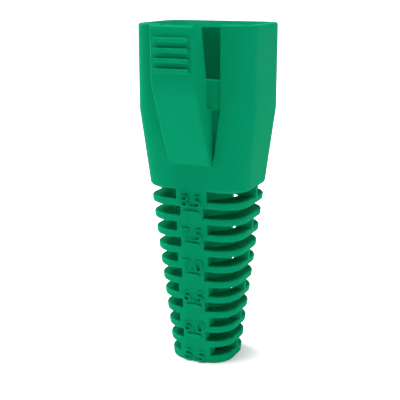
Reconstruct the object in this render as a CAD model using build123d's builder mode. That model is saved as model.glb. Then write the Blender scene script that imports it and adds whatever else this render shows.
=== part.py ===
"""Strain relief boot for an RJ45 plug: one moulded piece of soft plastic.

The mouth that takes the plug is up, and the cable leaves at the bottom.
The origin is on the cable's axis, in the end face of the cable end.
The release lever and the row of cut marks face -Y.
"""

import os

from build123d import *

# Head, the box that slips over the back of the plug
head_width = 14.0
head_depth = 9.9
head_corner = 2.0
head_straight = 9.5
head_taper = 8.8
wall = 1.0
socket_corner = 1.0
rim_round = 0.2
lead_in_width = 0.45
lead_in_depth = 0.75
foot_round = 0.5

# Foot of the head, which is also the wide end of the slotted tail
foot_width = 12.2
foot_depth = 9.6
foot_corner = 2.9

# Cable end of the slotted tail
end_width = 7.5
end_depth = 7.4
end_corner = 2.8
cable_bore = 5.5
end_ring_height = 0.96

# Cable way above it: near round, opening towards the head, then a funnel
way_bore = 7.8
way_flat = 0.1
funnel_height = 2.0

# Slots and ribs of the tail, counted from the head down
slot_count = 11
slot_height = 1.09
rib_height = 0.795
rib_round = 0.18
spine_wide = 3.72
spine_narrow = 2.76
web_thickness = 0.42

# Cut marks on the front of the tail
mark_width = 1.8
mark_height = 0.36
mark_relief = 0.24

# Latch slot in the front wall, and what lies under it
latch_width = 7.08
latch_depth = 5.85
band_height = 3.2
band_recess = 0.45
groove_height = 5.6
groove_depth = 0.65
groove_tip = 0.15

# Release lever over the latch slot
lever_width = 5.1
lever_reach = 4.65
lever_rise = 0.15
lever_tip_thickness = 1.95
lever_tip_slope = 0.2
lever_straight = 6.0
lever_lean = 0.15
lever_knee_reach = 1.5
lever_length = 15.2
lever_knee_rise = 2.4
lever_toe_reach = 0.25
lever_hollow_height = 5.7
lever_hollow_gap = 1.42
lever_root_height = 8.7
lever_root_gap = 1.36
lever_root_drop = 0.3
lever_bend = 8.0
lever_round = 0.3

# Grip bars on the lever
grip_count = 4
grip_width = 4.0
grip_height = 0.5
grip_pitch = 1.05
grip_start = 1.35
grip_relief = 0.35
grip_round = 0.12

# Heights that follow
slot_pitch = slot_height + rib_height
tail_length = slot_count * slot_height + (slot_count - 1) * rib_height + end_ring_height
head_length = head_straight + head_taper
total_length = tail_length + head_length
taper_top = total_length - head_straight
front = -head_depth / 2
embed = wall / 2
tie_top = tail_length + foot_round + rib_round


def between(low, high, height):
    """Size at a height on the tail, on a straight line from cable end to foot."""
    return low + (high - low) * height / tail_length


def tail_section(height):
    """Width, depth and corner radius of the tail's outline at a height."""
    width = between(end_width, foot_width, height)
    depth = between(end_depth, foot_depth, height)
    corner = between(end_corner, foot_corner, height)
    return width, depth, corner


def head_section(height, inset=0.0):
    """Width, depth and corner radius of the head's taper at a height above its foot."""
    share = height / head_taper
    width = foot_width + (head_width - foot_width) * share - 2 * inset
    depth = foot_depth + (head_depth - foot_depth) * share - 2 * inset
    corner = foot_corner + (head_corner - foot_corner) * share - inset
    return width, depth, corner


def near_round(bore):
    """Width, depth and corner radius of a cable way that is round but for short flats."""
    return bore, bore, (bore - way_flat) / 2


slots = []
for index in range(slot_count):
    slot_top = tail_length - index * slot_pitch
    slots.append((slot_top - slot_height, slot_top))

ribs = []
for index, (slot_low, slot_top) in enumerate(slots):
    rib_low = slots[index + 1][1] if index + 1 < slot_count else 0.0
    ribs.append((rib_low, slot_low))

# Ties cross every other slot, and the first runs up over the head's rounded foot
ties = [(slot_low - rib_round, slot_top + rib_round) for slot_low, slot_top in slots[0::2]]
ties[0] = (ties[0][0], tie_top)

# Spine: the front and back strips that tie the ribs, flush with the tail
with BuildPart() as spine:
    with BuildSketch(Plane.XY):
        RectangleRounded(*tail_section(0))
    with BuildSketch(Plane.XY.offset(tail_length)):
        RectangleRounded(*tail_section(tail_length))
    loft(ruled=True)
    with BuildSketch(Plane.XY.offset(tail_length)):
        RectangleRounded(*tail_section(tail_length))
    with BuildSketch(Plane.XY.offset(tie_top)):
        RectangleRounded(*head_section(tie_top - tail_length))
    loft(ruled=True)
    with BuildSketch(Plane.XZ):
        with Locations((0, tail_length / 2)):
            Rectangle(spine_narrow, tail_length)
        for tie_low, tie_high in ties:
            with Locations((0, (tie_low + tie_high) / 2)):
                Rectangle(spine_wide, tie_high - tie_low)
    extrude(amount=foot_depth, both=True, mode=Mode.INTERSECT)
    for slot_low, slot_top in slots[1::2]:
        mark_level = (slot_low + slot_top) / 2
        mark_seat = tail_section(mark_level)[1] / 2 - mark_relief
        with BuildSketch(Plane.XZ.offset(mark_seat)):
            with Locations((0, mark_level)):
                SlotOverall(mark_width, mark_height)
        extrude(amount=2 * mark_relief)

# Webs: the thin side ribs that tie every other slot, flush with the tail
with BuildPart() as webs:
    with BuildSketch(Plane.XY):
        RectangleRounded(*tail_section(0))
    with BuildSketch(Plane.XY.offset(tail_length)):
        RectangleRounded(*tail_section(tail_length))
    loft(ruled=True)
    with BuildSketch(Plane.XY.offset(tail_length)):
        RectangleRounded(*tail_section(tail_length))
    with BuildSketch(Plane.XY.offset(tie_top)):
        RectangleRounded(*head_section(tie_top - tail_length))
    loft(ruled=True)
    with BuildSketch(Plane.YZ):
        for tie_low, tie_high in ties:
            with Locations((0, (tie_low + tie_high) / 2)):
                Rectangle(web_thickness, tie_high - tie_low)
    extrude(amount=foot_width, both=True, mode=Mode.INTERSECT)

# Hollow: socket with its lead-in, taper, funnel, cable way and the bore of the end ring
with BuildPart() as hollow:
    socket = (head_width - 2 * wall, head_depth - 2 * wall, socket_corner)
    flare = (socket[0] + 2 * lead_in_width, socket[1] + 2 * lead_in_width, socket_corner + lead_in_width)
    throat = head_section(funnel_height, wall)
    with BuildSketch(Plane.XY.offset(total_length - lead_in_depth)):
        RectangleRounded(*socket)
    with BuildSketch(Plane.XY.offset(total_length)):
        RectangleRounded(*flare)
    loft(ruled=True)
    with BuildSketch(Plane.XY.offset(taper_top)):
        RectangleRounded(*socket)
    extrude(amount=head_straight - lead_in_depth)
    with BuildSketch(Plane.XY.offset(tail_length + funnel_height)):
        RectangleRounded(*throat)
    with BuildSketch(Plane.XY.offset(taper_top)):
        RectangleRounded(*socket)
    loft(ruled=True)
    with BuildSketch(Plane.XY.offset(tail_length)):
        RectangleRounded(*near_round(way_bore))
    with BuildSketch(Plane.XY.offset(tail_length + funnel_height)):
        RectangleRounded(*throat)
    loft(ruled=True)
    with BuildSketch(Plane.XY.offset(end_ring_height)):
        RectangleRounded(*near_round(cable_bore))
    with BuildSketch(Plane.XY.offset(tail_length)):
        RectangleRounded(*near_round(way_bore))
    loft(ruled=True)
    with BuildSketch(Plane.XY):
        Circle(cable_bore / 2)
    extrude(amount=end_ring_height)

# Lever: side profile with soft bends, rounded along its front
with BuildPart() as lever:
    tip_front = front - lever_reach
    toe = (front - lever_toe_reach, total_length - lever_length)
    tip = (tip_front, total_length + lever_rise)
    with BuildSketch(Plane.YZ):
        with BuildLine():
            FilletPolyline(
                tip,
                (tip_front + lever_lean, total_length - lever_straight),
                (front - lever_knee_reach, total_length - lever_length + lever_knee_rise),
                toe,
                radius=(lever_bend, lever_bend),
            )
            Polyline(
                toe,
                (front + embed, total_length - lever_length),
                (front + embed, total_length - lever_root_height - lever_root_drop),
                (front, total_length - lever_root_height - lever_root_drop),
                (front - lever_root_gap, total_length - lever_root_height),
                (front - lever_hollow_gap, total_length - lever_hollow_height),
                (tip_front + lever_tip_thickness, total_length + lever_rise - lever_tip_slope),
                tip,
            )
        make_face()
    extrude(amount=lever_width / 2, both=True)
    thumb_faces = faces().filter_by(lambda face: face.normal_at().Y < -0.5)
    thumb_edges = thumb_faces.edges().filter_by(Axis.X, reverse=True)
    tip_edge = edges().filter_by(Axis.X).sort_by(Axis.Y)[0]
    fillet(thumb_edges + [tip_edge], lever_round)
    grip_seat = -tip_front - lever_lean - grip_relief
    with BuildSketch(Plane.XZ.offset(grip_seat)):
        for row in range(grip_count):
            with Locations((0, total_length - grip_start - row * grip_pitch)):
                SlotOverall(grip_width, grip_height)
    extrude(amount=lever_lean + 2 * grip_relief)
    fillet(faces().sort_by(Axis.Y)[:grip_count].edges(), grip_round)

# Tail: ribs cut from the tapering outline, tied by the spine and the webs
with BuildPart() as tail:
    for rib_low, rib_top in ribs:
        with BuildSketch(Plane.XY.offset(rib_low)):
            RectangleRounded(*tail_section(rib_low))
        with BuildSketch(Plane.XY.offset(rib_top)):
            RectangleRounded(*tail_section(rib_top))
        loft(ruled=True)
    fillet(faces().filter_by(Axis.Z).edges(), rib_round)
    add([spine.part, webs.part])
    add(hollow.part, mode=Mode.SUBTRACT)

with BuildPart() as boot:
    # Head: straight part on a taper, with its rim and foot rounded
    with BuildSketch(Plane.XY.offset(tail_length)):
        RectangleRounded(*tail_section(tail_length))
    with BuildSketch(Plane.XY.offset(taper_top)):
        RectangleRounded(head_width, head_depth, head_corner)
    loft(ruled=True)
    with BuildSketch(Plane.XY.offset(taper_top)):
        RectangleRounded(head_width, head_depth, head_corner)
    extrude(amount=head_straight)
    fillet(faces().sort_by(Axis.Z)[-1].edges(), rim_round)
    fillet(faces().sort_by(Axis.Z)[0].edges(), foot_round)
    add(hollow.part, mode=Mode.SUBTRACT)

    # Latch slot, open at the rim, with the set-back band under it
    with BuildSketch(Plane.XZ.offset(-front - wall - lead_in_width)):
        with Locations((0, total_length)):
            Rectangle(latch_width, 2 * latch_depth)
    extrude(amount=wall + lead_in_width + embed, mode=Mode.SUBTRACT)
    with BuildSketch(Plane.XZ.offset(-front - band_recess)):
        with Locations((0, total_length - latch_depth - band_height / 2)):
            Rectangle(latch_width, band_height)
    extrude(amount=wall, mode=Mode.SUBTRACT)

    # Blind grooves that free the lever's root, narrowing to their lower tips
    groove_top = total_length - latch_depth - band_height
    with BuildSketch(Plane.XZ.offset(-front - groove_depth)):
        for side in (-1, 1):
            with BuildLine():
                Polyline(
                    (side * lever_width / 2, groove_top),
                    (side * latch_width / 2, groove_top),
                    (side * (lever_width / 2 + groove_tip), groove_top - groove_height),
                    (side * lever_width / 2, groove_top - groove_height),
                    close=True,
                )
            make_face()
    extrude(amount=groove_depth + embed, mode=Mode.SUBTRACT)

    add(lever.part)
    add(tail.part)

boot.part.label = "boot"
os.makedirs("parts", exist_ok=True)
export_step(boot.part, "parts/boot.step")
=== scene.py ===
"""Dresses an RJ45 strain relief boot: one green moulding with raised cut sizes.

The boot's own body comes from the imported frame. This script gives it its plastic,
adds the raised cut sizes down its front, and sets the floor, lamps and camera.
"""

import logging
import math
from dataclasses import dataclass, field
from enum import Enum

import bpy
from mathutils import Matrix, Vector


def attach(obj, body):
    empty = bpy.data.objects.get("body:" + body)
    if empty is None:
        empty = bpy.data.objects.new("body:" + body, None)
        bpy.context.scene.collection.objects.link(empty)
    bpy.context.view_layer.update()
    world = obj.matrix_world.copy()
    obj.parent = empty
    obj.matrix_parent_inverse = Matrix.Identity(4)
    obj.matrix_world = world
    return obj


logging.basicConfig(level=logging.INFO, format="%(message)s")
log = logging.getLogger("boot")

MM = 0.001
PHOTO_PIXELS = 400
SENSOR_WIDTH = 36.0
WHITE = (1.0, 1.0, 1.0, 1.0)

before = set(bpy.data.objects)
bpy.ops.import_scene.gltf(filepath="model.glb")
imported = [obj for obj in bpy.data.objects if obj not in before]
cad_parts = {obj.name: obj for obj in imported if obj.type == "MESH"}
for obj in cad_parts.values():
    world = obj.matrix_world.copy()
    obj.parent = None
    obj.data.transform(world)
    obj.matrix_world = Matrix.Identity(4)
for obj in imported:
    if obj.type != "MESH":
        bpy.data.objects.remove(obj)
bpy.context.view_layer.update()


def linear(hex_colour: str) -> tuple[float, float, float, float]:
    """Turns an sRGB hex colour into linear light.

    Args:
        hex_colour: Six hex digits, such as "0a9b6c".

    Returns:
        Red, green, blue and an alpha of 1.
    """
    channels = []
    for start in (0, 2, 4):
        value = int(hex_colour[start:start + 2], 16) / 255
        if value <= 0.04045:
            channels.append(value / 12.92)
        else:
            channels.append(((value + 0.055) / 1.055) ** 2.4)
    return channels[0], channels[1], channels[2], 1.0


def add_node(
    tree: bpy.types.NodeTree,
    kind: str,
    settings: dict[str, object] | None = None,
    inputs: dict[str, object] | None = None,
) -> bpy.types.Node:
    """Adds one node with its settings, values and links.

    Args:
        tree: The node tree that takes the node.
        kind: The node's type name.
        settings: Properties of the node itself.
        inputs: Values, or output sockets to link, by the input's name or number.

    Returns:
        The new node.
    """
    node = tree.nodes.new(kind)
    for name, value in (settings or {}).items():
        setattr(node, name, value)
    for name, value in (inputs or {}).items():
        key = int(name) if name.isdigit() else name
        if isinstance(value, bpy.types.NodeSocket):
            tree.links.new(value, node.inputs[key])
        else:
            node.inputs[key].default_value = value
    return node


def empty_material(name: str) -> bpy.types.Material:
    """Makes a material with an empty node tree.

    Args:
        name: The material's name.

    Returns:
        The material, with nothing in its tree.
    """
    material = bpy.data.materials.new(name)
    material.use_nodes = True
    material.node_tree.nodes.clear()
    return material


def background_rays(tree: bpy.types.NodeTree) -> bpy.types.NodeSocket:
    """Tells the rays that show the background from those that light the boot.

    Args:
        tree: The node tree that takes the nodes.

    Returns:
        A value of 1 for what the camera sees straight, in a sheen or through glass.
    """
    path = add_node(tree, "ShaderNodeLightPath")
    mirrored = add_node(
        tree,
        "ShaderNodeMath",
        settings={"operation": "MAXIMUM"},
        inputs={"0": path.outputs["Is Glossy Ray"], "1": path.outputs["Is Transmission Ray"]},
    )
    seen = add_node(
        tree,
        "ShaderNodeMath",
        settings={"operation": "MAXIMUM"},
        inputs={"0": path.outputs["Is Camera Ray"], "1": mirrored.outputs[0]},
    )
    return seen.outputs[0]


def deselect_all() -> None:
    """Leaves edit mode and clears the selection."""
    if bpy.context.object and bpy.context.object.mode != "OBJECT":
        bpy.ops.object.mode_set(mode="OBJECT")
    bpy.ops.object.select_all(action="DESELECT")


def make_active(piece: bpy.types.Object) -> None:
    """Selects one object alone and makes it active.

    Args:
        piece: The object to select.
    """
    deselect_all()
    piece.select_set(True)
    bpy.context.view_layer.objects.active = piece


def settle(piece: bpy.types.Object) -> None:
    """Puts a piece's place, turn and scale into its mesh.

    Args:
        piece: The object to settle at the origin.
    """
    make_active(piece)
    bpy.ops.object.transform_apply(location=True, rotation=True, scale=True)


class Slot(Enum):
    """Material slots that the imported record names."""

    BOOT = "boot_plastic"


@dataclass(frozen=True)
class SatinPvc:
    """Plasticised PVC, injection moulded in a finely sparked cavity.

    The eye gets an even green with a soft sheen, a faint grain that only
    shows in the highlights, and a slight glow where the wall is thin.
    """

    colour: str = "059c6c"
    deep_colour: str = "049769"
    index: float = 1.5
    gloss: float = 0.009
    roughness: float = 0.6
    roughness_swing: float = 0.05
    # Clouds of pigment, left by the flow of the melt
    cloud_mm: float = 5.0
    cloud_detail: float = 3.0
    cloud_low: float = 0.3
    cloud_high: float = 0.7
    # Spark grain of the cavity, drawn a little coarser than it is, so that it shows
    grain_mm: float = 0.12
    grain_detail: float = 2.0
    grain_depth_mm: float = 0.004
    grain_strength: float = 0.35
    glow: float = 0.06
    glow_reach_mm: float = 0.5
    glow_tint: tuple[float, float, float] = (0.4, 1.0, 0.7)

    def build(self, name: str) -> bpy.types.Material:
        """Makes the material.

        Args:
            name: The material's name.

        Returns:
            The finished material.
        """
        material = empty_material(name)
        tree = material.node_tree
        place = add_node(tree, "ShaderNodeTexCoord")
        cloud = add_node(
            tree,
            "ShaderNodeTexNoise",
            inputs={
                "Vector": place.outputs["Object"],
                "Scale": 1 / (self.cloud_mm * MM),
                "Detail": self.cloud_detail,
            },
        )
        tint = add_node(
            tree,
            "ShaderNodeMix",
            settings={"data_type": "RGBA"},
            inputs={
                "Factor": cloud.outputs["Fac"],
                "6": linear(self.deep_colour),
                "7": linear(self.colour),
            },
        )
        sheen = add_node(
            tree,
            "ShaderNodeMapRange",
            inputs={
                "Value": cloud.outputs["Fac"],
                "From Min": self.cloud_low,
                "From Max": self.cloud_high,
                "To Min": self.roughness - self.roughness_swing,
                "To Max": self.roughness + self.roughness_swing,
            },
        )
        grain = add_node(
            tree,
            "ShaderNodeTexNoise",
            inputs={
                "Vector": place.outputs["Object"],
                "Scale": 1 / (self.grain_mm * MM),
                "Detail": self.grain_detail,
            },
        )
        bump = add_node(
            tree,
            "ShaderNodeBump",
            inputs={
                "Strength": self.grain_strength,
                "Distance": self.grain_depth_mm * MM,
                "Height": grain.outputs["Fac"],
            },
        )
        shader = add_node(
            tree,
            "ShaderNodeBsdfPrincipled",
            inputs={
                "Base Color": tint.outputs[2],
                "Roughness": sheen.outputs["Result"],
                "Normal": bump.outputs["Normal"],
                "IOR": self.index,
                "Specular IOR Level": self.gloss,
                "Subsurface Weight": self.glow,
                "Subsurface Radius": self.glow_tint,
                "Subsurface Scale": self.glow_reach_mm * MM,
            },
        )
        add_node(tree, "ShaderNodeOutputMaterial", inputs={"Surface": shader.outputs["BSDF"]})
        return material


@dataclass(frozen=True)
class WhitePaper:
    """Matt white paper sweep, calendered, and lit from behind.

    The eye gets plain white that keeps a faint shadow. Under the boot itself
    the sheet stays dark, so that it doesn't shine up through the cable's way.
    """

    colour: str = "f4f4f4"
    # Light that the sheet throws back at the boot
    bounce: float = 0.1
    # Brightness as seen, by distance from the boot's axis in millimetres
    profile: tuple[tuple[float, float], ...] = (
        (0.0, 0.0),
        (3.5, 0.0),
        (6.0, 0.78),
        (40.0, 0.8),
        (250.0, 1.0),
    )

    def add_profile(
        self, tree: bpy.types.NodeTree, distance: bpy.types.NodeSocket
    ) -> bpy.types.NodeSocket:
        """Adds the curve from distance to brightness.

        Args:
            tree: The node tree that takes the curve.
            distance: Distance from the boot's axis, in metres.

        Returns:
            The brightness there.
        """
        level = add_node(tree, "ShaderNodeFloatCurve", inputs={"Value": distance})
        curve = level.mapping.curves[0]
        given = len(curve.points)
        for (reach_mm, brightness), point in zip(self.profile[:given], curve.points):
            point.location = (reach_mm * MM, brightness)
        for reach_mm, brightness in self.profile[given:]:
            curve.points.new(reach_mm * MM, brightness)
        for point in curve.points:
            point.handle_type = "VECTOR"
        level.mapping.update()
        return level.outputs["Value"]

    def build(self, name: str) -> bpy.types.Material:
        """Makes the material.

        Args:
            name: The material's name.

        Returns:
            The finished material.
        """
        material = empty_material(name)
        tree = material.node_tree
        place = add_node(tree, "ShaderNodeTexCoord")
        reach = add_node(
            tree,
            "ShaderNodeVectorMath",
            settings={"operation": "LENGTH"},
            inputs={"0": place.outputs["Object"]},
        )
        brightness = self.add_profile(tree, reach.outputs["Value"])
        strength = add_node(
            tree,
            "ShaderNodeMix",
            inputs={"0": background_rays(tree), "2": self.bounce, "3": brightness},
        )
        paper = add_node(tree, "ShaderNodeBsdfDiffuse", inputs={"Color": linear(self.colour)})
        glow = add_node(
            tree,
            "ShaderNodeEmission",
            inputs={"Color": WHITE, "Strength": strength.outputs[0]},
        )
        both = add_node(
            tree,
            "ShaderNodeAddShader",
            inputs={"0": paper.outputs[0], "1": glow.outputs[0]},
        )
        add_node(tree, "ShaderNodeOutputMaterial", inputs={"Surface": both.outputs[0]})
        return material


@dataclass(frozen=True)
class PaintedBoreShade:
    """Painted shade: a flat dark green disc standing in for the shadow on the floor inside the
    foot of the boot's bore.
    """

    # Dark green of the painted shade under the boot
    colour: str = "07583c"

    def build(self, name: str) -> bpy.types.Material:
        """Makes the material.

        Args:
            name: The material's name.

        Returns:
            The finished material.
        """
        material = empty_material(name)
        tree = material.node_tree
        painted_shade = add_node(tree, "ShaderNodeBsdfDiffuse", inputs={"Color": linear(self.colour)})
        add_node(tree, "ShaderNodeOutputMaterial", inputs={"Surface": painted_shade.outputs[0]})
        return material


@dataclass
class PhotoCamera:
    """The photograph's camera, placed in millimetres and turned in degrees."""

    place: tuple[float, float, float] = (39.939, -91.092, 43.881)
    tilt: float = 75.8525
    turn: float = 24.2252
    focal_pixels: float = 877.044
    clip_near: float = 0.001
    clip_far: float = 50.0

    def build(self) -> None:
        """Sets the camera where the photograph was taken from."""
        deselect_all()
        bpy.ops.object.camera_add(
            location=[value * MM for value in self.place],
            rotation=(math.radians(self.tilt), 0, math.radians(self.turn)),
        )
        camera = bpy.context.object
        camera.name = "photo_camera"
        camera.data.sensor_width = SENSOR_WIDTH
        camera.data.lens = self.focal_pixels * SENSOR_WIDTH / PHOTO_PIXELS
        camera.data.clip_start = self.clip_near
        camera.data.clip_end = self.clip_far
        bpy.context.scene.camera = camera
        log.info("%s: focal length %.1f mm", camera.name, camera.data.lens)


@dataclass
class Ground:
    """Paper floor, with a dark pad of painted shade in the foot of the boot's bore."""

    floor_side_m: float = 6.0
    pad_radius: float = 2.7
    pad_lift: float = 0.01
    pad_corners: int = 48
    paper: WhitePaper = field(default_factory=WhitePaper)
    bore_shade: PaintedBoreShade = field(default_factory=PaintedBoreShade)

    def build_floor(self) -> None:
        """Lays the pale floor, which shows white and keeps a faint shadow."""
        deselect_all()
        bpy.ops.mesh.primitive_plane_add(size=self.floor_side_m, location=(0, 0, 0))
        floor = bpy.context.object
        floor.name = "floor"
        floor.data.materials.append(self.paper.build("white_paper_sweep"))
        log.info("%s: %.1f m square", floor.name, self.floor_side_m)

    def build_shade_pad(self) -> None:
        """Lays the pad of painted shade that keeps the paper from shining through the slots."""
        deselect_all()
        # A dark disc of painted shade on the floor, in place of the shadow inside the bore
        bpy.ops.mesh.primitive_circle_add(
            vertices=self.pad_corners,
            radius=self.pad_radius * MM,
            fill_type="NGON",
            location=(0, 0, self.pad_lift * MM),
        )
        pad = bpy.context.object
        pad.name = "painted_shade_pad"
        pad.data.materials.append(self.bore_shade.build("painted_shade_dark_green"))
        log.info("%s: radius %.1f mm", pad.name, self.pad_radius)

    def build(self) -> None:
        """Lays the floor and then the pad."""
        self.build_floor()
        self.build_shade_pad()


@dataclass(frozen=True)
class Lamp:
    """One soft square lamp that faces the boot's middle.

    Its turn is about the boot from the front to the right, and its rise is above
    the level, both in degrees. Its side, its reach and the height that it aims at
    are in millimetres.
    """

    name: str
    turn: float
    rise: float
    side: float
    watts: float
    reach: float = 350.0
    aim: float = 20.0

    def build(self) -> None:
        """Adds the lamp."""
        turn, rise = math.radians(self.turn), math.radians(self.rise)
        flat = self.reach * math.cos(rise)
        height = self.aim + self.reach * math.sin(rise)
        place = (flat * math.sin(turn), -flat * math.cos(turn), height)
        deselect_all()
        bpy.ops.object.light_add(type="AREA", location=[value * MM for value in place])
        lamp = bpy.context.object
        lamp.name = self.name
        lamp.data.size = self.side * MM
        lamp.data.energy = self.watts
        aim = Vector((0, 0, self.aim * MM)) - lamp.location
        lamp.rotation_euler = aim.to_track_quat("-Z", "Y").to_euler()
        log.info("%s: %.3f W", self.name, self.watts)


@dataclass
class Studio:
    """Camera, ground, lamps and the pale room round the boot."""

    camera: PhotoCamera = field(default_factory=PhotoCamera)
    ground: Ground = field(default_factory=Ground)
    lamps: tuple[Lamp, ...] = (
        Lamp("back_left", turn=-107, rise=42, side=120, watts=0.74),
        Lamp("left", turn=-75, rise=15, side=120, watts=0.35),
        Lamp("high_left", turn=-30, rise=76, side=60, watts=0.72),
        Lamp("high_right", turn=75, rise=68, side=120, watts=0.43),
        Lamp("front_right", turn=40, rise=3, side=120, watts=0.215),
        Lamp("right", turn=105, rise=15, side=120, watts=0.08),
        Lamp("back_right", turn=150, rise=25, side=120, watts=0.22),
    )
    room_light: float = 0.01
    room_seen: float = 1.0

    def build_room(self) -> None:
        """Makes the world: white as seen, and only a faint light on the boot."""
        world = bpy.data.worlds.new("pale_room")
        bpy.context.scene.world = world
        world.use_nodes = True
        tree = world.node_tree
        tree.nodes.clear()
        shades = [
            add_node(tree, "ShaderNodeBackground", inputs={"Color": WHITE, "Strength": strength})
            for strength in (self.room_light, self.room_seen)
        ]
        mix = add_node(
            tree,
            "ShaderNodeMixShader",
            inputs={
                "0": background_rays(tree),
                "1": shades[0].outputs[0],
                "2": shades[1].outputs[0],
            },
        )
        add_node(tree, "ShaderNodeOutputWorld", inputs={"Surface": mix.outputs[0]})

    def build(self) -> None:
        """Sets the camera first, and then the ground, the lamps and the room."""
        self.camera.build()
        self.ground.build()
        for lamp in self.lamps:
            lamp.build()
        self.build_room()
        bpy.context.scene.view_settings.view_transform = "Standard"


@dataclass
class Moulding:
    """The boot's own body: the solid as it is, dressed in its plastic."""

    node: str = "boot"
    finish: SatinPvc = field(default_factory=SatinPvc)

    def build(self) -> bpy.types.Material:
        """Dresses the solid's node.

        Returns:
            The moulding's plastic.
        """
        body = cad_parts[self.node]
        plastic = self.finish.build("satin_green_pvc")
        body.data.materials.clear()
        body.data.materials.append(plastic)
        log.info("%s: %d faces in %s", self.node, len(body.data.polygons), plastic.name)
        return plastic


@dataclass
class SizeNumbers:
    """Raised cut sizes down the spine's front, in millimetres.

    Each tells the cable's diameter where the tail is cut. They were engraved in the
    cavity with a fine round-nosed cutter, so their strokes stand up soft-edged.
    """

    texts: tuple[str, ...] = ("8.5", "7.5", "7.0", "6.5", "6.0", "5.5")
    # Height of each number's middle above the cable end
    levels: tuple[float, ...] = (19.74, 15.82, 12.05, 8.27, 4.48, 0.78)
    # Digits, and what each number differs by from the one above it
    height: float = 1.49
    height_drop: float = 0.028
    width: float = 2.36
    width_gain: float = 0.03
    # How far the strokes stand out of the spine, and how deep they sit in it
    relief: float = 0.32
    sunk: float = 0.1
    edge: float = 0.045
    edge_steps: int = 2
    thinning: float = -0.07
    curve_steps: int = 8
    # Height of a digit as a share of the font's size
    cap_share: float = 0.72
    # The spine's depth at the cable end, and what it gains over the tail's length
    spine_depth: float = 7.4
    spine_gain: float = 2.2
    tail_length: float = 20.9
    weld_gap: float = 0.0005
    smooth_angle: float = 40.0

    def front_at(self, level: float) -> float:
        """Finds the spine's front face.

        Args:
            level: Height above the cable end, in millimetres.

        Returns:
            The face's place along Y, in millimetres.
        """
        return -(self.spine_depth + self.spine_gain * level / self.tail_length) / 2

    def write_number(self, row: int) -> bpy.types.Object:
        """Writes one number on the spine's sloping front.

        Args:
            row: Which number, counted from the head down.

        Returns:
            The number as text with its thickness and soft edges.
        """
        text, level = self.texts[row], self.levels[row]
        lean = math.atan(self.spine_gain / self.tail_length / 2)
        deselect_all()
        bpy.ops.object.text_add(
            location=(0, (self.front_at(level) + self.sunk) * MM, level * MM),
            rotation=(math.pi / 2 + lean, 0, 0),
        )
        piece = bpy.context.object
        piece.name = f"size_{text.replace('.', '_')}"
        words = piece.data
        words.body = text
        words.align_x = "CENTER"
        words.align_y = "CENTER"
        words.size = (self.height - row * self.height_drop) / self.cap_share * MM
        words.offset = self.thinning * MM
        words.extrude = (self.sunk + self.relief - self.edge) * MM
        words.bevel_depth = self.edge * MM
        words.bevel_resolution = self.edge_steps
        words.resolution_u = self.curve_steps
        return piece

    def solidify(self, piece: bpy.types.Object, width: float) -> bpy.types.Object:
        """Turns a written number into a clean closed mesh at the origin.

        Args:
            piece: The number as text.
            width: Its width, in millimetres.

        Returns:
            The number as a mesh.
        """
        make_active(piece)
        bpy.ops.object.convert(target="MESH")
        piece = bpy.context.object
        piece.scale.x = width * MM / piece.dimensions.x
        settle(piece)
        bpy.ops.object.mode_set(mode="EDIT")
        bpy.ops.mesh.select_all(action="SELECT")
        bpy.ops.mesh.remove_doubles(threshold=self.weld_gap * MM)
        bpy.ops.mesh.normals_make_consistent(inside=False)
        bpy.ops.object.mode_set(mode="OBJECT")
        bpy.ops.object.shade_smooth_by_angle(angle=math.radians(self.smooth_angle))
        return piece

    def build(self, material: bpy.types.Material) -> list[bpy.types.Object]:
        """Makes one raised number for each size.

        Args:
            material: The moulding's own plastic.

        Returns:
            The numbers, each a mesh at the origin.
        """
        made = []
        for row in range(len(self.texts)):
            piece = self.write_number(row)
            piece = self.solidify(piece, self.width + row * self.width_gain)
            piece.data.materials.clear()
            piece.data.materials.append(material)
            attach(piece, "root")
            made.append(piece)
            log.info("%s: %d faces", piece.name, len(piece.data.polygons))
        return made


def main() -> None:
    """Builds the studio and the boot in order."""
    Studio().build()
    plastic = Moulding().build()
    SizeNumbers().build(plastic)


if __name__ == "__main__":
    main()
